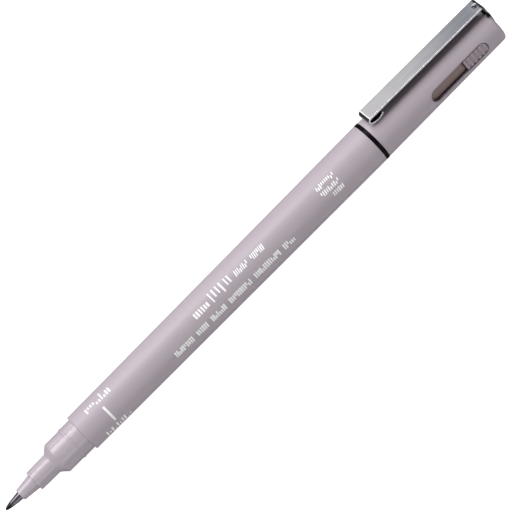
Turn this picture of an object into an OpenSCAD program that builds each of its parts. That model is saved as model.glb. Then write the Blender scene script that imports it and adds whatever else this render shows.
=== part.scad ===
// Brush-tip calligraphy marker, lying along X with its cap posted on the rear end.
// Millimetres. The point is at -X, the cap's closed end at +X, the clip is on top (+Z) and the cap's
// window faces -Y. The floor touches the tail flange at z = 0, and the origin is under the middle of the
// whole length.
// Places along the pen are "stations": distances from the tip of the brush point.

/* [Nib and nose] */
// Length of the brush point outside its collar
nib_len = 4.7; // [4:0.1:6]
// Diameter of the brush point where it enters the collar
nib_d = 2.2; // [1.8:0.1:2.3]
// Length of the tapered nib collar outside the nose
collar_len = 4.5; // [3.5:0.1:6]
// Diameter of the collar at its mouth
collar_front_d = 3.05; // [2.9:0.05:3.4]
// Diameter of the collar where it meets the nose
collar_rear_d = 4.1; // [4:0.05:4.6]
// Length of the nose cylinder behind the collar
nose_len = 5.9; // [5:0.1:8]
// Diameter of the nose at its front
nose_front_d = 5.38; // [5.2:0.02:5.5]
// Diameter of the nose where the cone starts
nose_rear_d = 5.54; // [5.5:0.02:5.8]

/* [Grip] */
// Length of the cone between nose and grip
cone_len = 1.7; // [1:0.1:3]
// Diameter of the grip's smooth front seat
grip_d = 8.5; // [8.2:0.05:8.6]
// Length of the grip's smooth front seat
grip_len = 4.4; // [3.5:0.1:6]
// Diameter of the seal ridge round the grip
ridge_d = 8.84; // [8.82:0.01:8.86]
// Length of the seal ridge
ridge_len = 0.8; // [0.5:0.1:1.2]
// Diameter of the grip behind the ridge
grip_rear_d = 8.66; // [8.55:0.01:8.68]
// Length of the grip behind the ridge
grip_rear_len = 2.8; // [2:0.1:4]

/* [Barrel] */
// Length of the barrel
barrel_len = 95; // [90:0.5:100]
// Outside diameter of the barrel at the grip
barrel_front_d = 9.9; // [9.8:0.05:10.2]
// Outside diameter of the barrel at the tail
barrel_rear_d = 10.86; // [10.8:0.02:11.1]
// Diameter of the black flange between barrel and cap, which the pen lies on
flange_d = 10.9; // [10.88:0.02:11.2]
// Length of the black flange between barrel and cap
flange_len = 1.0; // [0.6:0.1:2]
// Length of the spigot that the cap is posted on
spigot_len = 8.0; // [6:0.1:8.4]

/* [Cap] */
// Length of the cap shell
cap_len = 39.2; // [38:0.1:41]
// Outside diameter of the cap at its mouth
cap_mouth_d = 10.7; // [10.6:0.05:10.8]
// Outside diameter of the cap near its closed end
cap_end_d = 10.3; // [10.2:0.05:10.5]
// Bore of the cap at its mouth
cap_bore_d = 8.85; // [8.84:0.01:8.88]
// Radius of the cap's rounded closed end
cap_round = 0.8; // [0.8:0.1:1.3]
// Distance from the cap's mouth to the start of its window
window_start = 15.9; // [14:0.1:17]
// Overall length of the window
window_len = 18.3; // [17:0.1:18.5]
// Width of the window
window_w = 3.5; // [3:0.1:4]
// Angle round the cap from the clip to the window
window_angle = 86; // [80:1:100]
// Length of the ribbed tongue that fills the window's closed-end half
tongue_len = 7.2; // [6:0.1:7.5]
// Number of ribs on the tongue
rib_count = 5; // [3:1:5]

/* [Clip] */
// Width of the clip
clip_w = 4.3; // [3.8:0.1:4.6]
// Thickness of the clip's steel
clip_t = 0.5; // [0.4:0.05:0.55]
// Distance from the cap's mouth to the clip's free end
clip_start = 1.3; // [1:0.1:3]
// Height of the strip's middle over the pen's axis at the free end
clip_free_h = 7.5; // [7.4:0.05:7.7]
// Height of the strip's middle over the pen's axis at the head
clip_head_h = 7.2; // [7:0.05:7.3]
// Radius of the roll at the free end, at the middle of the steel
roll_r = 0.75; // [0.6:0.05:0.8]
// Angle round the rim that the head's saddle covers
saddle_angle = 66; // [56:2:80]
// Diameter of the small hole in the clip's head
clip_hole_d = 1.1; // [0.8:0.1:1.2]

/* [Hidden] */
$fn = 96;

// Clearances
running_gap = 0.04;
loose_gap = 0.15;

// Stations along the pen, from the tip of the brush point
collar_s = nib_len;
nose_s = collar_s + collar_len;
cone_s = nose_s + nose_len;
grip_s = cone_s + cone_len;
ridge_s = grip_s + grip_len;
grip_rear_s = ridge_s + ridge_len;
barrel_s = grip_rear_s + grip_rear_len;
flange_s = barrel_s + barrel_len;
cap_s = flange_s + flange_len;
cap_end_s = cap_s + cap_len;
plate_t = 0.4;
overall = cap_end_s + plate_t;
axis_z = flange_d / 2;

// Nib: the point swells from its tip by a power of the distance, and ends in a ball inside the collar
nib_pivot_s = collar_s + 0.3;
nib_ball_r = nib_d / 2;
nib_swell = 0.42;
nib_steps = 14;
collar_mouth_r = nib_ball_r + loose_gap;
stem_s = nib_pivot_s + nib_ball_r + 0.08;
stem_len = 20;
collar_shank_d = 3.9;
collar_shank_len = 4.5;

// Inside the barrel
shank_d = 7.9;
shank_len = 12;
barrel_bore_d = 7.6;
sleeve_d = 7.2;
sleeve_wall = 0.2;
reservoir_d = sleeve_d - 2 * sleeve_wall;
reservoir_s = stem_s + stem_len - 4;
reservoir_len = 84;
plug_d = 8.2;
plug_len = 10;
plug_bore_d = 5.6;
spigot_d = cap_bore_d - 0.15;

// Inside the cap
lip_len = 1.6;
lip_bore_d = 6.6;
insert_flange_len = 1.5;
inner_cap_s = cap_s + 9.6;
inner_cap_d = 8.2;
inner_cap_bore_d = 6.0;
inner_cap_len = 17.3;
inner_cap_rim_len = 1.4;
inner_cap_floor = 1.0;
window_s = cap_s + window_start;
window_end_s = window_s + window_len;
tongue_s = window_end_s - tongue_len;
tongue_w = window_w - 2 * loose_gap;
arm_r = 3.3;

// Clip
hinge_s = cap_end_s - 2.7;
bend_r = 0.9;
riser_proud = 0.2;
riser_s = cap_end_s + riser_proud - clip_t / 2;
clip_free_s = cap_s + clip_start;
foot_h = cap_r(clip_free_s + 2.4) + running_gap + clip_t / 2;
foot_r = 2.8;
tang_h = 1.2;
tang_len = 3.6;

function lerp(a, b, t) = a + (b - a) * t;
function barrel_r(s) = lerp(barrel_front_d, barrel_rear_d, (s - barrel_s) / barrel_len) / 2;
function cap_r(s) = lerp(cap_mouth_d, cap_end_d, (s - cap_s) / cap_len) / 2;
function arc(cx, cy, r, from, to, steps = 8) =
    [for (i = [0:steps]) let (a = lerp(from, to, i / steps)) [cx + r * cos(a), cy + r * sin(a)]];
function unit(v) = v / norm(v);
// Direction of a path at point i, and the path moved sideways by a distance
function heading(path, i) = unit(path[min(i + 1, len(path) - 1)] - path[max(i - 1, 0)]);
function beside(path, side) =
    [for (i = [0:len(path) - 1]) let (h = heading(path, i)) path[i] + side * [-h[1], h[0]]];
function reversed(path) = [for (i = [len(path) - 1:-1:0]) path[i]];

// Children made round local Z stand along the pen: local Z becomes +X, local X the clip's side (+Z)
module on_axis()
    translate([-overall / 2, 0, axis_z]) rotate([0, 90, 0]) rotate([0, 0, 180]) children();

// An outline of [radius, station] points turned round the pen's axis
module turned(outline) on_axis() rotate_extrude() polygon(outline);

// A flat outline of [station, height over the axis] points, made w wide across the pen
module across(w)
    translate([-overall / 2, w / 2, axis_z]) rotate([90, 0, 0]) linear_extrude(height = w) children();

// Strip of steel that follows a path of [station, height] points
module steel_strip(path) polygon(concat(beside(path, clip_t / 2), reversed(beside(path, -clip_t / 2))));

// A bar with round ends that points outwards through the window, w wide, between two stations
module window_slot(from_s, to_s, w)
    on_axis() rotate([0, 0, window_angle]) rotate([0, 90, 0]) {
        for (s = [from_s + w / 2, to_s - w / 2]) translate([-s, 0, 0]) cylinder(d = w, h = cap_mouth_d);
        translate([w / 2 - to_s, -w / 2, 0]) cube([to_s - from_s - w, w, cap_mouth_d]);
    }

module barrel() {
    edge = 0.25;
    rear_edge = 0.18;
    color("#a89fa8") turned([
        [shank_d / 2, barrel_s],
        [barrel_r(barrel_s) - edge, barrel_s],
        [barrel_r(barrel_s), barrel_s + edge],
        [barrel_r(flange_s), flange_s - rear_edge],
        [barrel_r(flange_s) - rear_edge, flange_s],
        [plug_d / 2, flange_s],
        [plug_d / 2, flange_s - plug_len],
        [barrel_bore_d / 2, flange_s - plug_len],
        [barrel_bore_d / 2, barrel_s + shank_len],
        [shank_d / 2, barrel_s + shank_len]]);
}

module grip_section() {
    edge = 0.2;
    ridge_slope = 0.15;
    throat_r = stem_bore_r() + 0.9;
    color("#aea5ae") turned([
        [collar_shank_d / 2, nose_s],
        [nose_front_d / 2 - edge, nose_s],
        [nose_front_d / 2, nose_s + edge],
        [nose_rear_d / 2, cone_s],
        [grip_d / 2 - edge, grip_s - edge / 2],
        [grip_d / 2, grip_s + edge / 2],
        [grip_d / 2, ridge_s],
        [ridge_d / 2, ridge_s + ridge_slope],
        [ridge_d / 2, grip_rear_s - ridge_slope],
        [grip_rear_d / 2, grip_rear_s],
        [grip_rear_d / 2, barrel_s],
        [shank_d / 2, barrel_s],
        [shank_d / 2, barrel_s + shank_len],
        [(sleeve_d + 0.1) / 2, barrel_s + shank_len],
        [(sleeve_d + 0.1) / 2, reservoir_s - 0.5],
        [throat_r, reservoir_s - 0.5],
        [throat_r, nose_s + collar_shank_len],
        [collar_shank_d / 2, nose_s + collar_shank_len]]);
}

// The nib's straight part slides into its holes with a slight gap
function stem_bore_r() = nib_d / 2 + 0.02;

module nib_collar() {
    color("#aaa1aa") turned([
        [collar_mouth_r, collar_s],
        [collar_front_d / 2, collar_s],
        [collar_rear_d / 2, nose_s],
        [collar_shank_d / 2, nose_s],
        [collar_shank_d / 2, nose_s + collar_shank_len],
        [stem_bore_r(), nose_s + collar_shank_len],
        [stem_bore_r(), stem_s + 0.5],
        [collar_mouth_r, stem_s + 0.5]]);
}

module brush_tip() {
    color("#1c191d") {
        turned(concat(
            [for (i = [0:nib_steps]) let (t = pow(i / nib_steps, 2))
                [nib_ball_r * pow(t, nib_swell), nib_pivot_s * t]],
            [[0, nib_pivot_s]]));
        on_axis() translate([0, 0, nib_pivot_s]) sphere(r = nib_ball_r);
    }
}

module nib_stem() {
    color("#2a262c") on_axis() translate([0, 0, stem_s]) cylinder(d = nib_d, h = stem_len);
}

module ink_reservoir() {
    color("#3a3a42") turned([
        [stem_bore_r(), reservoir_s],
        [reservoir_d / 2, reservoir_s],
        [reservoir_d / 2, reservoir_s + reservoir_len],
        [0, reservoir_s + reservoir_len],
        [0, stem_s + stem_len],
        [stem_bore_r(), stem_s + stem_len]]);
}

module reservoir_sleeve() {
    overhang = 0.3;
    color("#e6e4e0") turned([
        [reservoir_d / 2, reservoir_s - overhang],
        [sleeve_d / 2, reservoir_s - overhang],
        [sleeve_d / 2, reservoir_s + reservoir_len + overhang],
        [reservoir_d / 2, reservoir_s + reservoir_len + overhang]]);
}

module tail_plug() {
    lead = 0.5;
    end_wall = 1.2;
    color("#151316") turned([
        [plug_bore_d / 2, flange_s - plug_len],
        [plug_d / 2, flange_s - plug_len],
        [plug_d / 2, flange_s],
        [flange_d / 2, flange_s],
        [flange_d / 2, cap_s],
        [spigot_d / 2, cap_s],
        [spigot_d / 2, cap_s + spigot_len - lead],
        [spigot_d / 2 - lead, cap_s + spigot_len],
        [0, cap_s + spigot_len],
        [0, cap_s + spigot_len - end_wall],
        [plug_bore_d / 2, cap_s + spigot_len - end_wall]]);
}

module cap_shell() {
    edge = 0.15;
    color("#a69da6") difference() {
        turned(concat(
            [[cap_bore_d / 2, cap_s],
             [cap_r(cap_s) - edge, cap_s],
             [cap_r(cap_s), cap_s + edge]],
            rim_arc(cap_round),
            [[lip_bore_d / 2, cap_end_s],
             [lip_bore_d / 2, cap_end_s - lip_len],
             [cap_bore_d / 2, cap_end_s - lip_len]]));
        window_slot(window_s, window_end_s, window_w);
    }
}

module inner_cap() {
    lead = 0.4;
    floor_s = inner_cap_s + inner_cap_len - inner_cap_floor;
    color("#4e4649") turned([
        [inner_cap_bore_d / 2 + lead, inner_cap_s],
        [cap_bore_d / 2, inner_cap_s],
        [cap_bore_d / 2, inner_cap_s + inner_cap_rim_len],
        [inner_cap_d / 2, inner_cap_s + inner_cap_rim_len],
        [inner_cap_d / 2, inner_cap_s + inner_cap_len],
        [0, inner_cap_s + inner_cap_len],
        [0, floor_s],
        [inner_cap_bore_d / 2, floor_s],
        [inner_cap_bore_d / 2, inner_cap_s + lead]]);
}

module end_insert() {
    flange_front_s = cap_end_s - lip_len - insert_flange_len;
    rib_rise = 0.14;
    rib_pitch = 1.25;
    rib_start = 0.9;
    rib_steps = 8;
    skin_r = cap_r(window_end_s) - rib_rise;
    color("#a0979f") difference() {
        union() {
            turned([
                [0, flange_front_s],
                [cap_bore_d / 2, flange_front_s],
                [cap_bore_d / 2, cap_end_s - lip_len],
                [lip_bore_d / 2, cap_end_s - lip_len],
                [lip_bore_d / 2, cap_end_s],
                [0, cap_end_s]]);
            // Arm under the shell, and the tongue that fills the window
            intersection() {
                window_slot(tongue_s - window_w, flange_front_s + window_w, tongue_w);
                turned([[arm_r, tongue_s], [cap_bore_d / 2 - 0.05, tongue_s],
                        [cap_bore_d / 2 - 0.05, flange_front_s], [arm_r, flange_front_s]]);
            }
            intersection() {
                window_slot(tongue_s - window_w, window_end_s - loose_gap, tongue_w);
                turned(concat([[arm_r, tongue_s], [skin_r, tongue_s]],
                    [for (i = [0:rib_count * rib_steps])
                        [skin_r + rib_rise * (1 - cos(i * 360 / rib_steps)) / 2,
                         tongue_s + rib_start + i * rib_pitch / rib_steps]],
                    [[arm_r, tongue_s + rib_start + rib_count * rib_pitch]]));
            }
        }
        // Pocket that grips the clip's tang
        across(clip_w + 0.04) translate([cap_end_s - tang_len - 0.3, tang_h - clip_t / 2 - 0.02])
            square([tang_len + 1, clip_t + 0.04]);
    }
}

module clip_root() {
    rim_r = cap_end_d / 2;
    hole_back = 1;
    sheet_t = 0.3;
    plate_top = rim_r - 0.65;
    color("#8f969b") {
        // Stub, bend, and riser down into the saddle
        difference() {
            across(clip_w) steel_strip(concat([[hinge_s - clip_t, clip_head_h]],
                arc(riser_s - bend_r, clip_head_h - bend_r, bend_r, 90, 0),
                [[riser_s, rim_r - cap_round / 2]]));
            // Round seat that the strip's end turns in
            across(2 * clip_w) translate([hinge_s, clip_head_h]) circle(r = clip_t / 2 + running_gap);
            across(2 * clip_w) translate([hinge_s - 2 * clip_t, clip_head_h - clip_t])
                square([2 * clip_t + 0.05, 2 * clip_t]);
            turned(concat([[0, hinge_s], [rim_r, hinge_s]],
                rim_arc(cap_round + plate_t / 2), [[0, cap_end_s]]));
            translate([cap_end_s - hole_back - overall / 2, 0, axis_z])
                cylinder(d = clip_hole_d, h = 2 * clip_head_h);
        }
        // Plate on the cap's end face, folded into the tang that goes into the insert
        across(clip_w) polygon([
            [cap_end_s - tang_len, tang_h - clip_t / 2],
            [cap_end_s + sheet_t, tang_h - clip_t / 2],
            [cap_end_s + sheet_t, plate_top],
            [cap_end_s, plate_top],
            [cap_end_s, tang_h + clip_t / 2],
            [cap_end_s - tang_len, tang_h + clip_t / 2]]);
        // Saddle that hugs the rounded rim
        on_axis() rotate([0, 0, -saddle_angle / 2]) rotate_extrude(angle = saddle_angle)
            polygon(concat(rim_arc(cap_round), reversed(rim_arc(cap_round + plate_t))));
    }
}

// Outline of the cap's rounded rim, or of a skin over it, from its side to its end face
function rim_arc(r) = arc(cap_end_d / 2 - cap_round, cap_end_s - cap_round, r, 0, 90);

module clip_strip() {
    roll_s = clip_free_s + clip_t / 2 + roll_r;
    foot_mid_h = foot_h + foot_r;
    foot_mid_s = roll_s + sqrt(foot_r * foot_r - pow(foot_mid_h - (clip_free_h - 2 * roll_r), 2));
    foot_start = atan2(clip_free_h - 2 * roll_r - foot_mid_h, roll_s - foot_mid_s);
    foot_end = -47;
    roll_end = 262;
    color("#a4aab0") {
        across(clip_w) steel_strip(concat([[hinge_s, clip_head_h]],
            arc(roll_s, clip_free_h - roll_r, roll_r, 90, roll_end, 12),
            arc(foot_mid_s, foot_mid_h, foot_r, foot_start, foot_end, 10)));
        across(clip_w) translate([hinge_s, clip_head_h]) circle(d = clip_t);
    }
}

barrel();
grip_section();
nib_collar();
brush_tip();
nib_stem();
ink_reservoir();
reservoir_sleeve();
tail_plug();
cap_shell();
inner_cap();
end_insert();
clip_root();
clip_strip();
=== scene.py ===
import math
import random

import bmesh
import bpy
from mathutils import Matrix, Vector


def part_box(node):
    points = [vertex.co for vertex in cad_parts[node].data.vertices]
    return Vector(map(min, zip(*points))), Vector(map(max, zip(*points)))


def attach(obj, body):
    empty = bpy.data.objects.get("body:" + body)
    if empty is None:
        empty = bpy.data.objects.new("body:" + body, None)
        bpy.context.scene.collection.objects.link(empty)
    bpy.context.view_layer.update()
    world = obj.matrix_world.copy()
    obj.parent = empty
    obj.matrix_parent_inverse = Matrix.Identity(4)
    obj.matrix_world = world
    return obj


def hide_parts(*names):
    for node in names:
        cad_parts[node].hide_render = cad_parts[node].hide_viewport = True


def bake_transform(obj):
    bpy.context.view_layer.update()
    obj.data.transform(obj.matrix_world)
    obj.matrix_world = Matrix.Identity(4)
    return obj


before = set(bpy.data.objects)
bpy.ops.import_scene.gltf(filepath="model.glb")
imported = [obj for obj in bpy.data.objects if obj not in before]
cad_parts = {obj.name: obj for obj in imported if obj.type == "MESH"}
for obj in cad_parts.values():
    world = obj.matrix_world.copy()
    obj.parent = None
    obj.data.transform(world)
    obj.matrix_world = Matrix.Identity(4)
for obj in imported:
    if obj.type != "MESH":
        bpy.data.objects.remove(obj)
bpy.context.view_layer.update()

MM = 0.001
TIP_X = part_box("brush_tip")[0].x
AXIS_Z = sum(corner.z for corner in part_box("barrel")) / 2


def starts(node):
    return (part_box(node)[0].x - TIP_X) / MM


def ends(node):
    return (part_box(node)[1].x - TIP_X) / MM


# Stations of the outside, from the front to the rear
COLLAR, NOSE, BARREL, FLANGE = starts("nib_collar"), starts("grip_section"), starts("barrel"), ends("barrel")
CONE, GRIP, RIDGE, GRIP_REAR = NOSE + 5.9, NOSE + 7.6, NOSE + 12.0, NOSE + 12.8
CAP, CAP_END = starts("cap_shell"), ends("cap_shell")
WINDOW, WINDOW_END = CAP + 15.9, CAP + 34.2

# Stations inside: rear ends of the nib's room, the collar and the grip's shank, front of the reservoir's room,
# the tail plug's front end, wall and spigot, and the inner face of the rim that the cap's end plug fills
NIB_ROOM_REAR, COLLAR_REAR, RESERVOIR_FRONT, SHANK_REAR = 6.76, NOSE + 4.5, 21.68, BARREL + 12
PLUG_FRONT, SPIGOT_WALL, SPIGOT_FLOOR, SPIGOT_REAR = FLANGE - 10, CAP + 6.8, CAP + 7.8, CAP + 8
RIM = CAP_END - 1.6

# Radii of the outside
NIB_R, COLLAR_FRONT_R, COLLAR_REAR_R, NOSE_R, CONE_R = 1.1, 1.525, 2.05, 2.69, 2.77
GRIP_R, RIDGE_R, GRIP_REAR_R = 4.25, 4.42, 4.33
BARREL_FRONT_R, BARREL_REAR_R = 4.95, 5.43
PLUG_R = (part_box("tail_plug")[1].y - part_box("tail_plug")[0].y) / 2 / MM
SPIGOT_R, SPIGOT_GROOVE_R = 4.35, 4.27
CAP_MOUTH_R, CAP_END_R, CAP_ROUND = 5.35, 5.15, 0.8

# Radii inside, of bores and of what fits in them. Closed ends stop short of the axis, by AXIS_R
NIB_ROOM_R, STEM_BORE_R, COLLAR_SHANK_R, STEM_ROOM_R, RESERVOIR_R = 1.25, 1.12, 1.95, 2.02, 3.65
SHANK_R, BARREL_BORE_R, PLUG_SEAT_R, PLUG_BORE_R = 3.95, 3.8, 4.1, 2.8
CAP_BORE_R, RIM_R, INNER_CUP_R, AXIS_R = 4.425, 3.3, 4.1, 0.02

WINDOW_W, WINDOW_ANGLE = 3.5, math.radians(86)


def mix(a, b, t):
    return a + (b - a) * t


def barrel_r(s):
    return mix(BARREL_FRONT_R, BARREL_REAR_R, (s - BARREL) / (FLANGE - BARREL))


def cap_r(s):
    return mix(CAP_MOUTH_R, CAP_END_R, (s - CAP) / (CAP_END - CAP))


# ---------------------------------------------------------------- mesh building


def around(s, r, angle):
    """A point at a station and radius, turned from the top of the pen towards -Y."""
    return (s, -r * math.sin(angle), r * math.cos(angle))


def rounded(corners, closed=True, side=2.0, steps=5):
    """An outline through [x, y, rounding] corners. Each corner is rounded, with steps to a right angle, and
    a longer piece than side is divided."""
    largest_share = 0.48  # of a side that the rounding of one corner may take
    points, n = [], len(corners)
    for i, (x, y, r) in enumerate(corners):
        p = Vector((x, y))
        if not r or not (closed or 0 < i < n - 1):
            points.append(p)
            continue
        a, b = Vector(corners[i - 1][:2]) - p, Vector(corners[(i + 1) % n][:2]) - p
        turn = math.pi - a.angle(b)
        cut = min(r * math.tan(turn / 2), largest_share * a.length, largest_share * b.length)
        r = cut / math.tan(turn / 2)
        a.normalize(), b.normalize()
        centre = p + (a + b).normalized() * r / math.cos(turn / 2)
        start, end = p + a * cut - centre, p + b * cut - centre
        count = max(2, round(steps * turn / (math.pi / 2)))
        points += [centre + start.slerp(end, k / count).normalized() * r for k in range(count + 1)]
    out = []
    for i, p in enumerate(points):
        out.append(p)
        q = points[(i + 1) % len(points)]
        if closed or i < len(points) - 1:
            parts = max(1, math.ceil((q - p).length / side))
            out += [p.lerp(q, k / parts) for k in range(1, parts)]
    return [(p.x, p.y) for p in out]


def border(grid):
    """The outside of a grid of points, in one round: first row, last column, last row, first column."""
    return grid[0] + [row[-1] for row in grid[1:-1]] + grid[-1][::-1] + [row[0] for row in grid[-2:0:-1]]


class Shape:
    """Points and faces of one mesh, added row by row."""

    def __init__(self):
        self.points, self.faces = [], []

    def row(self, points):
        first = len(self.points)
        self.points += points
        return list(range(first, len(self.points)))

    def join(self, a, b, closed=True, skip=()):
        """Faces between two rows of the same length."""
        for j in range(len(a) if closed else len(a) - 1):
            if j not in skip:
                k = (j + 1) % len(a)
                self.faces.append((a[j], a[k], b[k], b[j]))

    def join_all(self, rows, closed=True):
        for a, b in zip(rows, rows[1:]):
            self.join(a, b, closed)

    def close(self, row, centre):
        """A fan of faces from a row to a point."""
        (c,) = self.row([centre])
        for j in range(len(row)):
            self.faces.append((row[j], row[(j + 1) % len(row)], c))

    def rings(self, loop, targets):
        """Rows of faces from a loop through further loops of points; returns the last one."""
        for points in targets:
            new = self.row(points)
            self.join(loop, new)
            loop = new
        return loop


def turned(outline, segments=144, closed=True):
    """An outline of [station, radius] turned round the axis. An open one ends on the axis at both ends."""
    shape = Shape()
    angles = [2 * math.pi * j / segments for j in range(segments)]
    inner = outline if closed else outline[1:-1]
    rows = [shape.row([around(s, r, a) for a in angles]) for s, r in inner]
    shape.join_all(rows)
    if closed:
        shape.join(rows[-1], rows[0])
    else:
        shape.close(rows[0], (outline[0][0], 0, 0))
        shape.close(rows[-1], (outline[-1][0], 0, 0))
    return shape


def make(name, shape, material, crease=40):
    """A smooth-shaded mesh object in the row frame, with its faces turned outwards. Edges that turn by more
    than crease degrees stay sharp."""
    mesh = bpy.data.meshes.new(name)
    mesh.from_pydata([(TIP_X + s * MM, y * MM, AXIS_Z + h * MM) for s, y, h in shape.points], [], shape.faces)
    bm = bmesh.new()
    bm.from_mesh(mesh)
    bmesh.ops.recalc_face_normals(bm, faces=bm.faces)
    bm.to_mesh(mesh)
    bm.free()
    mesh.polygons.foreach_set("use_smooth", [True] * len(mesh.polygons))
    mesh.set_sharp_from_angle(angle=math.radians(crease))
    mesh.materials.append(material)
    obj = bpy.data.objects.new(name, mesh)
    bpy.context.scene.collection.objects.link(obj)
    weighted = obj.modifiers.new("weighted", "WEIGHTED_NORMAL")
    weighted.keep_sharp = True
    return obj


def add(name, shape, material, body, nodes=(), crease=40):
    """A piece that rides on a body, with its material, and stands for CAD nodes, which it hides."""
    obj = make(name, shape, material, crease)
    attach(obj, body)
    if nodes:
        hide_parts(*nodes)
    return obj


# ---------------------------------------------------------------- materials


def tree_of(name):
    material = bpy.data.materials.new(name)
    material.use_nodes = True
    nodes, links = material.node_tree.nodes, material.node_tree.links
    return material, nodes, links, nodes["Principled BSDF"]


def noise(nodes, links, scale, stretch=(1, 1, 1), detail=3.0, rough=0.5):
    """A noise pattern fixed to the object; scale is in waves per metre."""
    where = nodes.new("ShaderNodeTexCoord")
    mapping = nodes.new("ShaderNodeMapping")
    mapping.inputs["Scale"].default_value = stretch
    texture = nodes.new("ShaderNodeTexNoise")
    texture.inputs["Scale"].default_value = scale
    texture.inputs["Detail"].default_value = detail
    texture.inputs["Roughness"].default_value = rough
    links.new(where.outputs["Object"], mapping.inputs["Vector"])
    links.new(mapping.outputs["Vector"], texture.inputs["Vector"])
    return texture.outputs["Fac"]


def spread(nodes, links, value, low, high, start=0.3, end=0.7):
    """The value's range from start to end, mapped on to low to high."""
    node = nodes.new("ShaderNodeMapRange")
    node.inputs["From Min"].default_value = start
    node.inputs["From Max"].default_value = end
    node.inputs["To Min"].default_value = low
    node.inputs["To Max"].default_value = high
    links.new(value, node.inputs["Value"])
    return node.outputs["Result"]


def blend_colors(nodes, links, factor, a, b):
    """A mix of two colours, each a tuple or another node's output."""
    node = nodes.new("ShaderNodeMix")
    node.data_type = "RGBA"
    links.new(factor, node.inputs["Factor"])
    for socket, value in zip([s for s in node.inputs if s.type == "RGBA"], (a, b)):
        if isinstance(value, tuple):
            socket.default_value = (*value, 1)
        else:
            links.new(value, socket)
    return [s for s in node.outputs if s.type == "RGBA"][0]


def shade(color, k):
    return tuple(min(1.0, c * k) for c in color)


def bump(nodes, links, bsdf, height, strength, distance):
    """Relief on the surface; distance is in metres."""
    node = nodes.new("ShaderNodeBump")
    node.inputs["Strength"].default_value = strength
    node.inputs["Distance"].default_value = distance
    links.new(height, node.inputs["Height"])
    links.new(node.outputs["Normal"], bsdf.inputs["Normal"])


def moulded(name, color, rough=(0.4, 0.48), mottle=0.03, grain=0.05, gloss=0.5):
    """Moulded plastic: faint flow lines along the pen, fine grain, and a roughness that varies a little."""
    flow_scale, grain_scale, grain_depth = 90, 2600, 0.00003
    speck_amount, speck_shade, plastic_ior = 0.25, 0.88, 1.49
    material, nodes, links, bsdf = tree_of(name)
    flow = noise(nodes, links, flow_scale, (0.25, 1, 1), detail=2)
    fine = noise(nodes, links, grain_scale, (1, 1, 1), detail=2)
    base = blend_colors(nodes, links, flow, shade(color, 1 - mottle), shade(color, 1 + mottle))
    speck = spread(nodes, links, fine, 0.0, speck_amount)
    links.new(blend_colors(nodes, links, speck, base, shade(color, speck_shade)), bsdf.inputs["Base Color"])
    links.new(spread(nodes, links, flow, *rough), bsdf.inputs["Roughness"])
    bump(nodes, links, bsdf, fine, grain, grain_depth)
    bsdf.inputs["IOR"].default_value = plastic_ior
    bsdf.inputs["Specular IOR Level"].default_value = gloss
    return material


def brushed(name, color, rough=(0.17, 0.25)):
    """Spring steel with fine lines along the strip."""
    line_scale, line_strength, line_depth, cloud_scale = 2200, 0.04, 0.00001, 160
    material, nodes, links, bsdf = tree_of(name)
    lines = noise(nodes, links, line_scale, (0.03, 1, 1), detail=3, rough=0.6)
    cloud = noise(nodes, links, cloud_scale, (1, 1, 1), detail=3)
    tone = spread(nodes, links, lines, 0, 1)
    base = blend_colors(nodes, links, tone, shade(color, 0.93), shade(color, 1.05))
    links.new(base, bsdf.inputs["Base Color"])
    bsdf.inputs["Metallic"].default_value = 1.0
    links.new(spread(nodes, links, cloud, *rough), bsdf.inputs["Roughness"])
    bump(nodes, links, bsdf, lines, line_strength, line_depth)
    return material


def fibre(name, tip, rear, from_s, to_s, rough=(0.14, 0.3), wet=0.0):
    """Ink-soaked fibre with bundles of strands along the pen. Between the stations from_s and to_s its colour
    turns from the tip's to the rear's, and its wet coat grows to full."""
    strand_scale, strand_strength, strand_depth, streak_amount, streak_shade = 3200, 0.3, 0.00005, 0.6, 1.2
    dry_share, fibre_gloss, coat_rough, coat_ior = 0.1, 0.12, 0.08, 1.8
    material, nodes, links, bsdf = tree_of(name)
    where = nodes.new("ShaderNodeTexCoord")
    split = nodes.new("ShaderNodeSeparateXYZ")
    links.new(where.outputs["Object"], split.inputs["Vector"])
    strands = noise(nodes, links, strand_scale, (0.06, 1, 1), detail=3, rough=0.6)
    along = spread(nodes, links, split.outputs["X"], 0, 1, TIP_X + from_s * MM, TIP_X + to_s * MM)
    tone = blend_colors(nodes, links, along, tip, rear)
    streaks = spread(nodes, links, strands, 0.0, streak_amount)
    links.new(blend_colors(nodes, links, streaks, tone, shade(tip, streak_shade)), bsdf.inputs["Base Color"])
    links.new(spread(nodes, links, strands, *rough), bsdf.inputs["Roughness"])
    bump(nodes, links, bsdf, strands, strand_strength, strand_depth)
    links.new(spread(nodes, links, along, dry_share * wet, wet, 0, 1), bsdf.inputs["Coat Weight"])
    bsdf.inputs["Specular IOR Level"].default_value = fibre_gloss
    bsdf.inputs["Coat Roughness"].default_value = coat_rough
    bsdf.inputs["Coat IOR"].default_value = coat_ior
    return material


BODY_COLOR = (0.445, 0.387, 0.433)
barrel_plastic = moulded("barrel_plastic", BODY_COLOR, gloss=0.35)
cap_plastic = moulded("cap_plastic", BODY_COLOR, gloss=0.35)
grip_plastic = moulded("grip_plastic", (0.455, 0.397, 0.445), rough=(0.2, 0.28), grain=0.02)
black_plastic = moulded("black_plastic", (0.006, 0.004, 0.006), rough=(0.25, 0.35), grain=0.03, gloss=0.05)
# Painted shade: the cup's colour is the body plastic's tone darkened and browned to its look in the shade
# behind the window
inner_cap_painted_shade = moulded("inner_cap_plastic", (0.24, 0.175, 0.165), rough=(0.4, 0.5))
tongue_plastic = moulded("tongue_plastic", (0.36, 0.30, 0.335), rough=(0.3, 0.4))
clip_steel = brushed("clip_steel", (0.6, 0.585, 0.605))
# Painted shade: a dark copy of the clip's steel for its underside, which darkens the underside and the shadow
# it throws on the cap
clip_underside_painted_shade = brushed("clip_steel_underside_painted_shade", (0.15, 0.145, 0.15), rough=(0.34, 0.44))
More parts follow.
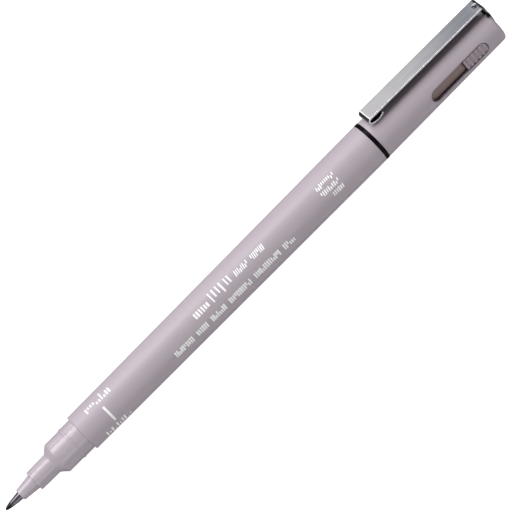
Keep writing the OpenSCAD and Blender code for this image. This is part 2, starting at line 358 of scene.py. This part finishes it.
# Painted reflection: a near-black copy of the steel for the bend, riser, plate, tang and ears at the clip's
# head, standing in for the dark reflections there
clip_head_painted_reflection = brushed("clip_steel_head_painted_reflection", (0.12, 0.12, 0.13), rough=(0.2, 0.3))
nib_fibre = fibre("nib_fibre", (0.002, 0.0015, 0.003), (0.11, 0.088, 0.125), 1.4, 2.4, wet=1.0)
reservoir_fibre = fibre("reservoir_fibre", (0.05, 0.05, 0.07), (0.07, 0.07, 0.09), 20, 100)
sleeve_film = moulded("sleeve_film", (0.8, 0.79, 0.76), rough=(0.3, 0.4))
print_white = moulded("print_white", (0.95, 0.94, 0.95), rough=(0.3, 0.4), mottle=0.02, grain=0.02)

# ---------------------------------------------------------------- pen body


def brush_nib():
    """Pointed fibre tip with shallow flutes that fade out at its point. Rows are closer near the point."""
    rear, crowding, bluntness, flute_depth, flutes_from = 6.0, 1.7, 0.42, 0.006, 2.5
    segments, count = 128, 69
    random.seed(7)
    flutes = [(random.randint(9, 31), random.uniform(0, 6.28), random.uniform(0.3, 1.0)) for _ in range(6)]
    shape, rows = Shape(), []
    for i in range(1, count + 1):
        s = rear * (i / count) ** crowding
        r = NIB_R * min(1.0, (s / (COLLAR + 0.3)) ** bluntness)
        depth = flute_depth * min(1.0, s / flutes_from)
        ring = []
        for j in range(segments):
            a = 2 * math.pi * j / segments
            wave = sum(k * math.sin(n * a + p + 0.15 * s) for n, p, k in flutes) / 3
            ring.append(around(s, r - depth * (0.5 + 0.5 * wave), a))
        rows.append(shape.row(ring))
    shape.join_all(rows)
    shape.close(rows[0], (0, 0, 0))
    shape.close(rows[-1], (rear, 0, 0))
    return shape


brush_point = make("brush_point", brush_nib(), nib_fibre)
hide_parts("brush_tip")

# Collar that holds the nib, with a rounded mouth
collar = turned(rounded([
    (COLLAR, NIB_ROOM_R, 0.1), (COLLAR, COLLAR_FRONT_R, 0.16), (NOSE, COLLAR_REAR_R, 0),
    (NOSE, COLLAR_SHANK_R, 0), (COLLAR_REAR, COLLAR_SHANK_R, 0.2), (COLLAR_REAR, STEM_BORE_R, 0),
    (NIB_ROOM_REAR, STEM_BORE_R, 0), (NIB_ROOM_REAR, NIB_ROOM_R, 0)], side=0.8))
add("nib_collar_shell", collar, grip_plastic, "pen", ["nib_collar"])

# Grip: nose, cone, seat for the cap, seal ridge, and the shank inside the barrel
grip = turned(rounded([
    (NOSE, COLLAR_SHANK_R, 0), (NOSE, NOSE_R, 0.22), (CONE, CONE_R, 0.3), (GRIP, GRIP_R, 0.35),
    (RIDGE + 0.05, GRIP_R, 0.1), (RIDGE + 0.15, RIDGE_R, 0.12), (GRIP_REAR - 0.15, RIDGE_R, 0.12),
    (GRIP_REAR, GRIP_REAR_R, 0.05), (BARREL, GRIP_REAR_R, 0), (BARREL, SHANK_R, 0),
    (SHANK_REAR, SHANK_R, 0.2), (SHANK_REAR, RESERVOIR_R, 0), (RESERVOIR_FRONT, RESERVOIR_R, 0.3),
    (RESERVOIR_FRONT, STEM_ROOM_R, 0), (COLLAR_REAR, STEM_ROOM_R, 0), (COLLAR_REAR, COLLAR_SHANK_R, 0)],
    side=0.8))
add("grip_shell", grip, grip_plastic, "pen", ["grip_section"])

# Barrel with a rounded front edge and a crisp rear edge
tube = turned(rounded([
    (BARREL, SHANK_R, 0.1), (BARREL, BARREL_FRONT_R, 0.28), (FLANGE, BARREL_REAR_R, 0.16),
    (FLANGE, PLUG_SEAT_R, 0.1), (PLUG_FRONT, PLUG_SEAT_R, 0), (PLUG_FRONT, BARREL_BORE_R, 0),
    (SHANK_REAR, BARREL_BORE_R, 0), (SHANK_REAR, SHANK_R, 0)], side=1.6), segments=192)
add("barrel_tube", tube, barrel_plastic, "pen", ["barrel"])

# Black tail plug: the flange between barrel and cap, and the spigot with two grooves that holds the cap
grooves = []
for start, end in ((CAP + 1.6, CAP + 2.4), (CAP + 4.8, CAP + 5.6)):
    grooves += [(start, SPIGOT_R, 0.05), (start + 0.1, SPIGOT_GROOVE_R, 0.05),
                (end - 0.1, SPIGOT_GROOVE_R, 0.05), (end, SPIGOT_R, 0.05)]
plug = turned(rounded([
    (PLUG_FRONT, PLUG_BORE_R, 0), (PLUG_FRONT, PLUG_SEAT_R, 0.15), (FLANGE, PLUG_SEAT_R, 0),
    (FLANGE, PLUG_R, 0.06), (CAP, PLUG_R, 0.06), (CAP, SPIGOT_R, 0.05), *grooves,
    (CAP + 7.5, SPIGOT_R, 0.1), (SPIGOT_REAR, 3.85, 0.1), (SPIGOT_REAR, 2.0, 0.1), (SPIGOT_FLOOR, 1.8, 0.05),
    (SPIGOT_FLOOR, AXIS_R, 0), (SPIGOT_WALL, AXIS_R, 0), (SPIGOT_WALL, PLUG_BORE_R, 0)], side=0.8))
add("tail_plug_shell", plug, black_plastic, "pen", ["tail_plug"])

# ---------------------------------------------------------------- printed marks


def stamp(shape, s0, s1, a0, a1, lean=0.0, base=0.0, lift=0.014, sink=0.06):
    """A thin closed patch on the barrel between two stations and two angles, in degrees from the top. It
    leans forward by so many mm for each degree above the base line."""
    column, corner_share = 0.35, 0.12
    around_count = max(2, math.ceil(math.radians(a1 - a0) * barrel_r(s0) / column))
    corner = corner_share * min(s1 - s0, 1.0)
    stations = [s0, s0 + corner, (s0 + s1) / 2, s1 - corner, s1]
    layers = []
    for height in (lift, -sink):
        grid = []
        for i, s in enumerate(stations):
            inset = math.degrees(corner / barrel_r(s)) if i in (0, len(stations) - 1) else 0.0
            angles = [mix(a0 + inset, a1 - inset, k / around_count) for k in range(around_count + 1)]
            at = [(s + lean * (base - a), math.radians(a)) for a in angles]
            grid.append(shape.row([around(x, barrel_r(x) + height, a) for x, a in at]))
        shape.join_all(grid, closed=False)
        layers.append(border(grid))
    shape.join(*layers)


def row_of_marks(shape, s0, s1, a0, a1, words, strokes=2, fill=0.55, parts=((0, 1),), lean=0.0):
    """Stand-in for a line of print: upright strokes of several heights in groups, and no letters. A stroke
    takes the share fill of its place, and one of the parts of the line's height."""
    slots = strokes * (sum(words) + len(words) - 1)
    pitch, place = (s1 - s0) / slots, 0
    for count in words:
        for _ in range(strokes * count):
            top, bottom = random.choice(parts)
            wide = pitch * fill * random.uniform(0.8, 1.2)
            start = s0 + place * pitch + (pitch - wide) / 2
            stamp(shape, start, start + wide, mix(a0, a1, top), mix(a0, a1, bottom), lean, a1)
            place += 1
        place += strokes


# Heights of strokes to choose from, and the lean of the sloping lines in mm for each degree
TALL = ((0, 1), (0, 1), (0, 1), (0.08, 0.92), (0, 0.6), (0.4, 1))
MIXED = ((0, 1), (0.38, 1), (0.38, 1), (0.38, 0.7), (0.7, 1))
SLOPE = 0.016
random.seed(21)
marks = Shape()
stamp(marks, 32.2, 32.78, 35, 87)
for a0, a1 in ((-6, 19), (96, 121)):
    row_of_marks(marks, 28.6, 36.6, a0, a1, [5], fill=0.5, parts=MIXED)
row_of_marks(marks, 61.8, 66.6, 32, 49, [3], fill=0.62, parts=((0, 1), (0, 1), (0.1, 0.9)))
row_of_marks(marks, 67.2, 71.9, 12, 50, [2], fill=0.36, parts=((0.2, 1), (0.2, 0.8), (0, 0.8)))
row_of_marks(marks, 72.3, 74.3, 21, 43, [1], fill=0.4)
row_of_marks(marks, 75.3, 84.7, 27, 44, [4, 4], fill=0.58, parts=TALL, lean=SLOPE)
row_of_marks(marks, 52.6, 91.4, 69, 87, [5, 3, 4, 6, 7, 3], fill=0.74, parts=TALL)
# A block of three short lines near the cap
BLOCK, BLOCK_PITCH, BLOCK_TOP, LINE_PITCH, LINE_HEIGHT = 102.3, 1.15, 25.5, 19.5, 13.5
for line, (first, last) in enumerate(((0, 5), (0, 5), (2, 5))):
    top = BLOCK_TOP + LINE_PITCH * line
    row_of_marks(marks, BLOCK + BLOCK_PITCH * first, BLOCK + BLOCK_PITCH * last, top, top + LINE_HEIGHT,
                 [last - first], fill=0.6, parts=TALL, lean=SLOPE)
add("barrel_marks", marks, print_white, "pen")

# ---------------------------------------------------------------- cap


def slot_outline(points, start, end, radius):
    """For each point, the nearest one on a round-ended slot round the line from start to end."""
    out = []
    for s, t in points:
        centre = Vector((min(max(s, start), end), 0))
        away = Vector((s, t)) - centre
        edge = centre + away.normalized() * radius
        out.append((edge.x, edge.y))
    return out


def lerp_loop(a, b, t):
    return [(mix(p[0], q[0], t), mix(p[1], q[1], t)) for p, q in zip(a, b)]


def on_cap(points, depth=0.0, bore=False):
    """Points given by station and distance from the window's centre line, on the cap's skin or below it."""
    out = []
    for s, t in points:
        r = CAP_BORE_R if bore else mix(cap_r(s), CAP_BORE_R, depth)
        out.append(around(s, r, WINDOW_ANGLE + math.asin(t / r)))
    return out


def cap_shell():
    """The cap's tube, with its window cut through a patch of the skin and of the bore.

    The patch is reach columns wide on each side of the window's centre line, and count rows long. Its cells
    are left out of the tube, and rings of faces run from its border to the window's lip, through the wall,
    and out to the same border in the bore."""
    segments, reach, count, margin, half, lip = 144, 11, 24, 1.3, WINDOW_W / 2, 0.16
    patch = [mix(WINDOW - margin, WINDOW_END + margin, k / count) for k in range(count + 1)]
    rim = [(CAP_END - CAP_ROUND + CAP_ROUND * math.sin(t), CAP_END_R - CAP_ROUND + CAP_ROUND * math.cos(t))
           for t in (math.pi / 2 * k / 10 for k in range(11))]
    lead = rounded([(CAP, CAP_BORE_R + 0.3, 0), (CAP, CAP_MOUTH_R, 0.15), (patch[0], cap_r(patch[0]), 0)],
                   closed=False, side=0.9)[:-1]
    skin = [(s, cap_r(s)) for s in patch]
    tail = rounded([(patch[-1] + 0.6, cap_r(patch[-1]), 0), rim[0] + (0,)], closed=False)[:-1] + rim
    tail += rounded([(CAP_END, 3.8, 0), (CAP_END, RIM_R, 0.12), (RIM, RIM_R, 0), (RIM, CAP_BORE_R, 0),
                     (patch[-1] + 0.3, CAP_BORE_R, 0)], closed=False, side=0.9)
    bore = [(s, CAP_BORE_R) for s in reversed(patch)]
    back = rounded([(patch[0] - 0.3, CAP_BORE_R, 0), (CAP, CAP_BORE_R, 0.12), (CAP, CAP_BORE_R + 0.25, 0)],
                   closed=False, side=0.9)
    outline = lead + skin + tail + bore + back
    shape = Shape()
    angles = [WINDOW_ANGLE + 2 * math.pi * j / segments for j in range(-reach, segments - reach)]
    rows = [shape.row([around(s, r, a) for a in angles]) for s, r in outline]
    first_skin, first_bore = len(lead), len(lead) + len(skin) + len(tail)
    for i in range(len(rows)):
        open_here = any(first <= i < first + count for first in (first_skin, first_bore))
        shape.join(rows[i], rows[(i + 1) % len(rows)], skip=range(2 * reach) if open_here else ())
    # The border of the opening, in the same order on the skin and in the bore
    cells = [(k, 0) for k in range(count)] + [(count, j) for j in range(2 * reach)]
    cells += [(k, 2 * reach) for k in range(count, 0, -1)] + [(0, j) for j in range(2 * reach, 0, -1)]
    outer = [rows[first_skin + k][j] for k, j in cells]
    inner = [rows[first_bore + count - k][j] for k, j in cells]
    flat = [(patch[k], math.sin(math.pi * 2 * (j - reach) / segments)) for k, j in cells]
    outer_at = [(s, t * cap_r(s)) for s, t in flat]
    inner_at = [(s, t * CAP_BORE_R) for s, t in flat]

    def edge(offset):
        return slot_outline(outer_at, WINDOW + half, WINDOW_END - half, half + offset)

    turns = [math.pi / 2 * k / 4 for k in range(1, 5)]
    share = lip / (cap_r(WINDOW) - CAP_BORE_R)
    loops = [on_cap(lerp_loop(outer_at, edge(lip), t)) for t in (0.35, 0.7, 1.0)]
    loops += [on_cap(edge(lip * (1 - math.sin(t))), share * (1 - math.cos(t))) for t in turns]
    loops += [on_cap(edge(0), d) for d in (0.5, 1 - share / 2)]
    loops += [on_cap(edge(lip / 2), bore=True)]
    loops += [on_cap(lerp_loop(edge(lip / 2), inner_at, t), bore=True) for t in (0.35, 0.7)]
    shape.join(shape.rings(outer, loops), inner)
    return shape


add("cap_tube", cap_shell(), cap_plastic, "cap", ["cap_shell"])

# Cup inside the cap that closes round the nose, with a flange that fits the bore. Its dark brown colour is
# painted shade: the body's tone darkened to how it looks in the window's shade
CUP = starts("inner_cap")
CUP_FLANGE, CUP_FLOOR, CUP_REAR = CUP + 1.4, CUP + 15.8, CUP + 17.3
inner_cap = turned(rounded([
    (CUP, 3.4, 0.1), (CUP, CAP_BORE_R, 0.1), (CUP_FLANGE, CAP_BORE_R, 0.1), (CUP_FLANGE, INNER_CUP_R, 0.15),
    (CUP_REAR, INNER_CUP_R, 0.3), (CUP_REAR, AXIS_R, 0), (CUP_FLOOR, AXIS_R, 0), (CUP_FLOOR, 3.0, 0.3),
    (CUP + 0.4, 3.0, 0)], side=0.9))
add("inner_cap_cup", inner_cap, inner_cap_painted_shade, "cap", ["inner_cap"])

# Plug that closes the cap's end, with a shallow dish in its face
END_FRONT, END_R, DISH = CAP_END - 3.1, 3.27, CAP_END - 0.2
end_plug = turned([(END_FRONT, 0)] + rounded([
    (END_FRONT, 0.4, 0), (END_FRONT, CAP_BORE_R, 0.1), (RIM, CAP_BORE_R, 0.02), (RIM, END_R, 0),
    (CAP_END, END_R, 0.14), (CAP_END, 2.2, 0.1), (DISH, 2.0, 0.1), (DISH, 0.3, 0)],
    closed=False, side=0.7) + [(DISH, 0)], closed=False)
add("end_plug", end_plug, cap_plastic, "cap", ["end_insert"])


def tongue():
    """Ribbed tongue that fills the closed-end half of the window. Its front end is square with rounded
    corners, and its rear end is round, as the window's is."""
    gap, length, corner, bottom_r, edge_drop = 0.15, 7.2, 0.5, 3.9, 0.16
    start, end, half = WINDOW_END - length, WINDOW_END - gap, WINDOW_W / 2 - gap
    skin, rise, pitch, lead = cap_r(WINDOW_END) - 0.02, 0.34, 1.25, 0.9
    xs = [corner * (1 - math.cos(math.pi * k / 12)) * 0.6 for k in range(12)]
    xs += [0.6 + 4.9 * k / 70 for k in range(70)]
    xs += [5.5 + 1.55 * math.sin(math.pi / 2 * k / 10) for k in range(11)]
    across = [math.sin(math.pi / 2 * k / 9) for k in range(-9, 10)]
    shape, layers = Shape(), []
    for inside in (False, True):
        grid = []
        for x in xs:
            near, far = min(x, corner), min(end - start - x, half)
            wide = half
            if x < corner:
                wide = half - corner + math.sqrt(max(0.0, corner**2 - (corner - near) ** 2))
            wide = min(wide, math.sqrt(max(0.0, half**2 - (half - far) ** 2)) + 0.02)
            row = []
            for u in across:
                t = wide * u
                inset = min(wide * (1 - abs(u)), x, end - start - x)
                drop = edge_drop * (1 - min(1.0, inset / 0.2)) ** 2
                groove = (1 + math.cos(2 * math.pi * (x - lead) / pitch)) / 2 if x < lead + 5.5 * pitch else 0
                r = bottom_r if inside else skin - rise * groove**2 - drop
                row.append(around(start + x, r, WINDOW_ANGLE + math.asin(t / r)))
            grid.append(shape.row(row))
        shape.join_all(grid, closed=False)
        layers.append(border(grid))
    shape.join(*layers)
    return shape


add("ribbed_tongue", tongue(), tongue_plastic, "cap", crease=60)

# ---------------------------------------------------------------- clip

# Width and thickness, heights of the steel's middle over the axis, and the roll and foot at the free end
CLIP_W, STEEL, FREE_H, HEAD_H, ROLL_R, FOOT_R = 4.3, 0.5, 7.5, 7.2, 0.75, 2.8
ROLL_S = CAP + 1.3 + STEEL / 2 + ROLL_R
FOOT_H = cap_r(CAP + 3.7) + 0.04 + STEEL / 2 + FOOT_R
FOOT_S = ROLL_S + math.sqrt(FOOT_R**2 - (FOOT_H - (FREE_H - 2 * ROLL_R)) ** 2)
HEAD_S, RISER_S = CAP_END - 2.7, CAP_END + 0.2 - STEEL / 2
PLATE_S, PLATE_H, TANG_S, TANG_H = CAP_END + 0.15, 4.5, CAP_END - 3.6, 1.2
HOLE_S, HOLE_R = CAP_END - 1.0, 0.55


def arc(cx, cy, r, start, end, steps):
    angles = [math.radians(mix(start, end, k / steps)) for k in range(steps + 1)]
    return [(cx + r * math.cos(a), cy + r * math.sin(a)) for a in angles]


def clip_band():
    """The clip as one strip of steel: foot, roll, strip, bend at the head, and the tang in the cap's end.
    Also returns the points of its underside, which take a dark steel as painted shade, and those of its bend
    and everything beyond it, which take a near-black steel as painted reflection.

    The hole at the head is cut as the cap's window is, through a patch of the top and of the underside."""
    # The middle line of the steel, as [station, height]
    lead_in, hole_steps = 1.0, 6  # closer rows before the hole's centre
    foot_start = math.degrees(math.atan2(FREE_H - 2 * ROLL_R - FOOT_H, ROLL_S - FOOT_S))
    path = arc(FOOT_S, FOOT_H, FOOT_R, -47, foot_start, 22)
    path += arc(ROLL_S, FREE_H - ROLL_R, ROLL_R, 258, 90, 22)
    hole_rows = [HOLE_S + lead_in * k / hole_steps for k in range(-hole_steps, 0)]
    strip = [mix(ROLL_S, HOLE_S - lead_in, k / 40) for k in range(1, 40)]
    for s in strip + hole_rows:
        path.append((s, mix(FREE_H, HEAD_H, min(1.0, (s - ROLL_S) / (HEAD_S - ROLL_S)))))
    patch_start = len(path) - hole_steps
    path += rounded([
        (HOLE_S, HEAD_H, 0), (RISER_S, HEAD_H, 0.9), (RISER_S, 5.2, 0.6), (PLATE_S, PLATE_H, 0.6),
        (PLATE_S, TANG_H, 0.38), (TANG_S, TANG_H, 0)], closed=False, side=0.35, steps=10)
    run = [0.0]
    for p, q in zip(path, path[1:]):
        run.append(run[-1] + math.dist(p, q))
    hole_u = run[patch_start + hole_steps]
    patch_end = next(i for i in range(patch_start, len(path)) if run[i] > hole_u + 0.85)

    # Cross-section: columns across the top, round the edge, back across the underside, round the other edge
    columns = 16
    half_w, half_t, r = CLIP_W / 2, STEEL / 2, 0.09
    top = [mix(-(half_w - r), half_w - r, k / columns) for k in range(columns + 1)]
    section = [(t, half_t) for t in top]
    upper, lower = (0.4, 0.8, 1.2, math.pi / 2), (math.pi / 2, 2.0, 2.4, 2.8)
    for middle, turns in ((half_t - r, upper), (-half_t + r, lower)):
        section += [(half_w - r + r * math.sin(a), middle + r * math.cos(a)) for a in turns]
    section += [(-t, -n) for t, n in section]
    under = len(section) // 2  # the first column of the underside

    def sideways(i):
        p, q = path[max(i - 1, 0)], path[min(i + 1, len(path) - 1)]
        length = math.dist(p, q)
        return (-(q[1] - p[1]) / length, (q[0] - p[0]) / length)

    def place(u, t, n):
        """A point of the strip by its distance along, across and through the steel."""
        i = max(k for k in range(len(run)) if run[k] <= u + 1e-9)
        i = min(i, len(run) - 2)
        f = (u - run[i]) / (run[i + 1] - run[i])
        a, b = sideways(i), sideways(i + 1)
        side = Vector((mix(a[0], b[0], f), mix(a[1], b[1], f))).normalized()
        s, h = mix(path[i][0], path[i + 1][0], f), mix(path[i][1], path[i + 1][1], f)
        return (s + side.x * n, t, h + side.y * n)

    shape = Shape()
    rows = [shape.row([place(u, t, n) for t, n in section]) for u in run]
    low, high = 4, 12  # columns of the top face that the hole's patch covers
    for i in range(len(rows) - 1):
        opened = patch_start <= i < patch_end
        skip = [*range(low, high), *range(under + low, under + high)] if opened else ()
        shape.join(rows[i], rows[i + 1], skip=skip)
    for end, centre in ((0, place(run[0], 0, 0)), (-1, place(run[-1], 0, 0))):
        shape.close(rows[end], centre)
    cells = [(i, low) for i in range(patch_start, patch_end)] + [(patch_end, j) for j in range(low, high)]
    cells += [(i, high) for i in range(patch_end, patch_start, -1)]
    cells += [(patch_start, j) for j in range(high, low, -1)]
    # Column j of the top face lies over column 16 - j of the underside, which runs the other way
    outer = [rows[i][j] for i, j in cells]
    inner = [rows[i][under + columns - j] for i, j in cells]
    wide = [(run[i] - hole_u, top[j]) for i, j in cells]

    def edge(offset):
        return slot_outline(wide, 0, 0, HOLE_R + offset)

    def loop(points, n):
        return [place(hole_u + u, t, n) for u, t in points]

    lip = 0.08
    loops = [loop(lerp_loop(wide, edge(lip), t), half_t) for t in (0.5, 1.0)]
    for a in (0.8, math.pi / 2):
        loops.append(loop(edge(lip * (1 - math.sin(a))), half_t - lip * (1 - math.cos(a))))
    loops += [loop(edge(0), n) for n in (0, lip - half_t)]
    loops += [loop(edge(lip), -half_t), loop(lerp_loop(wide, edge(lip), 0.5), -half_t)]
    shape.join(shape.rings(outer, loops), inner)
    # Painted shade: the underside's points, whose faces take the dark copy of the steel
    inside = {v for row in rows for v in row[under:under + columns + 1]}
    # Painted reflection: the bend and everything beyond it, whose faces take the near-black steel
    bend = {v for row, (s, h) in zip(rows, path) if s > RISER_S - 0.55 for v in row}
    return shape, inside, bend


band, inside, bend = clip_band()
clip = make("pocket_clip", band, clip_steel, crease=50)
clip.data.materials.append(clip_underside_painted_shade)
clip.data.materials.append(clip_head_painted_reflection)
# Faces of the bend and beyond take the near-black steel as painted reflection, and those of the underside take
# the dark steel as painted shade
for face in clip.data.polygons:
    face.material_index = 2 if bend.issuperset(face.vertices) else int(inside.issuperset(face.vertices))
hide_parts("clip_root", "clip_strip")


def clip_saddle():
    """Ears of the clip's head, which hug the cap's rounded rim on both sides of the bend."""
    inner_r, outer_r, middle_r, edge_nip = CAP_ROUND + 0.01, CAP_ROUND + 0.38, 1.4, 0.06
    reach, side, count = 33, 16, 14  # degrees and steps on each side, and steps round the rim
    turns = [math.pi / 2 * k / count for k in range(count + 1)]
    s0, r0 = CAP_END - CAP_ROUND, CAP_END_R - CAP_ROUND
    widest = math.radians(reach)
    shape, rows = Shape(), []
    for k in range(2 * side + 1):
        angle = widest * math.sin(math.pi / 2 * (k - side) / side)
        nip = edge_nip if k in (0, 2 * side) else 0.0
        far, near = outer_r - nip, inner_r + nip
        outline = [(s0 + far * math.sin(t), r0 + far * math.cos(t)) for t in turns]
        outline += [(s0 + near * math.sin(t), r0 + near * math.cos(t)) for t in reversed(turns)]
        rows.append(shape.row([around(s, r, angle) for s, r in outline]))
    shape.join_all(rows)
    mid = (s0 + middle_r * math.sin(0.8), r0 + middle_r * math.cos(0.8))
    shape.close(rows[0], around(*mid, -widest))
    shape.close(rows[-1], around(*mid, widest))
    return shape


# The ears take the near-black steel too, as painted reflection
add("clip_saddle", clip_saddle(), clip_head_painted_reflection, "cap", crease=50)

# ---------------------------------------------------------------- inner parts kept from the CAD

kept_parts = (("nib_stem", nib_fibre), ("ink_reservoir", reservoir_fibre), ("reservoir_sleeve", sleeve_film))
for node, material in kept_parts:
    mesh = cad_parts[node].data
    mesh.materials.clear()
    mesh.materials.append(material)
    mesh.polygons.foreach_set("material_index", [0] * len(mesh.polygons))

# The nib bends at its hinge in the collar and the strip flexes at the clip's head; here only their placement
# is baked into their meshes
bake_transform(brush_point)
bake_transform(clip)

# ---------------------------------------------------------------- camera, lights and floor

# The camera stands 45 degrees over the floor, square to the pen at a point near its grip, and is rolled so
# that the pen runs from the lower left to the upper right
CAMERA_STATION, CAMERA_AWAY, CAMERA_ELEVATION, CAMERA_ROLL = 25.0, 880.0, 45.0, 45.19
AIM_STATION, AIM_RISE = 82.33, 0.34
LENS, SENSOR_WIDTH, CLIP_END = 267.3, 36.0, 20.0
lift = math.radians(CAMERA_ELEVATION)
eye = Vector((TIP_X + CAMERA_STATION * MM, -CAMERA_AWAY * MM * math.cos(lift),
              AXIS_Z + CAMERA_AWAY * MM * math.sin(lift)))
aim = Vector((TIP_X + AIM_STATION * MM, AIM_RISE * MM * math.sin(lift),
              AXIS_Z + AIM_RISE * MM * math.cos(lift)))
forward = (aim - eye).normalized()
along = (Vector((1, 0, 0)) - forward * forward.x).normalized()
over = (-forward).cross(along)
roll = math.radians(CAMERA_ROLL)
right, up = along * math.cos(roll) - over * math.sin(roll), along * math.sin(roll) + over * math.cos(roll)
camera_data = bpy.data.cameras.new("camera")
camera_data.lens, camera_data.sensor_width, camera_data.clip_end = LENS, SENSOR_WIDTH, CLIP_END
camera = bpy.data.objects.new("camera", camera_data)
bpy.context.scene.collection.objects.link(camera)
camera.matrix_world = Matrix((
    (right.x, up.x, -forward.x, eye.x), (right.y, up.y, -forward.y, eye.y),
    (right.z, up.z, -forward.z, eye.z), (0, 0, 0, 1)))
bpy.context.scene.camera = camera
bpy.context.scene.view_settings.view_transform = "Standard"


def softbox(name, place, target, size, radiance, color=(1, 1, 1)):
    """An area light of a stated brightness, facing a target. It doesn't show in the picture itself."""
    data = bpy.data.lights.new(name, "AREA")
    data.shape, data.size, data.size_y = "RECTANGLE", size[0], size[1]
    data.energy, data.color = radiance * math.pi * size[0] * size[1], color
    light = bpy.data.objects.new(name, data)
    bpy.context.scene.collection.objects.link(light)
    light.visible_camera = False
    light.location = place
    light.rotation_euler = (Vector(place) - Vector(target)).to_track_quat("Z", "Y").to_euler()


# Two long boxes overhead, a low one in front, and three small ones behind that the clip's face reflects
softbox("key", (-0.3, 0.19, 0.83), (-0.3, 0, 0), (1.4, 0.3), 7.6)
softbox("key_edge", (-0.3, -0.045, 0.85), (-0.3, 0, 0), (1.4, 0.17), 4.0)
softbox("low_front", (0, -1.2, 0.07), (0, 0, 0), (2.4, 0.14), 5.5)
softbox("back", (0.02, 0.3, 0.3), (0, 0, 0.013), (0.22, 0.16), 0.95)
softbox("back_left", (-0.03, 0.3, 0.3), (0, 0, 0.013), (0.1, 0.14), 1.8)
softbox("back_right", (0.22, 0.3, 0.3), (0, 0, 0.013), (0.16, 0.16), 0.25, (0.72, 0.95, 1.2))

# A white world and a white sweep under the pen, lit on their own as in a studio: they look white in the
# picture without throwing all of that light on the pen
WORLD_LIGHT = 0.03
world = bpy.data.worlds.new("studio")
bpy.context.scene.world = world
world.use_nodes = True
sky = world.node_tree
sky.nodes["Background"].inputs["Color"].default_value = (1, 1, 1, 1)
seen = sky.nodes.new("ShaderNodeLightPath").outputs["Is Camera Ray"]
strength = spread(sky.nodes, sky.links, seen, WORLD_LIGHT, 1.0, 0, 1)
sky.links.new(strength, sky.nodes["Background"].inputs["Strength"])

# The floor turns from light grey in front of the pen to dark grey behind it
FLOOR, FRONT_GREY, BACK_GREY, FRONT_EDGE, BACK_EDGE = 4.0, (0.6, 0.6, 0.6), (0.06, 0.06, 0.06), -0.01, 0.02
floor_mesh = bpy.data.meshes.new("floor")
floor_corners = [(-FLOOR, -FLOOR, 0), (FLOOR, -FLOOR, 0), (FLOOR, FLOOR, 0), (-FLOOR, FLOOR, 0)]
floor_mesh.from_pydata(floor_corners, [], [(0, 1, 2, 3)])
floor_material, nodes, links, bsdf = tree_of("floor_white")
where = nodes.new("ShaderNodeSeparateXYZ")
links.new(nodes.new("ShaderNodeTexCoord").outputs["Object"], where.inputs["Vector"])
depth = spread(nodes, links, where.outputs["Y"], 0, 1, FRONT_EDGE, BACK_EDGE)
links.new(blend_colors(nodes, links, depth, FRONT_GREY, BACK_GREY), bsdf.inputs["Base Color"])
seen = nodes.new("ShaderNodeLightPath").outputs["Is Camera Ray"]
links.new(spread(nodes, links, seen, 0.0, 1.0, 0, 1), bsdf.inputs["Emission Strength"])
links.new(spread(nodes, links, noise(nodes, links, 3), 0.7, 0.8), bsdf.inputs["Roughness"])
bsdf.inputs["Emission Color"].default_value = (1, 1, 1, 1)
floor_mesh.materials.append(floor_material)
floor = bpy.data.objects.new("floor", floor_mesh)
bpy.context.scene.collection.objects.link(floor)
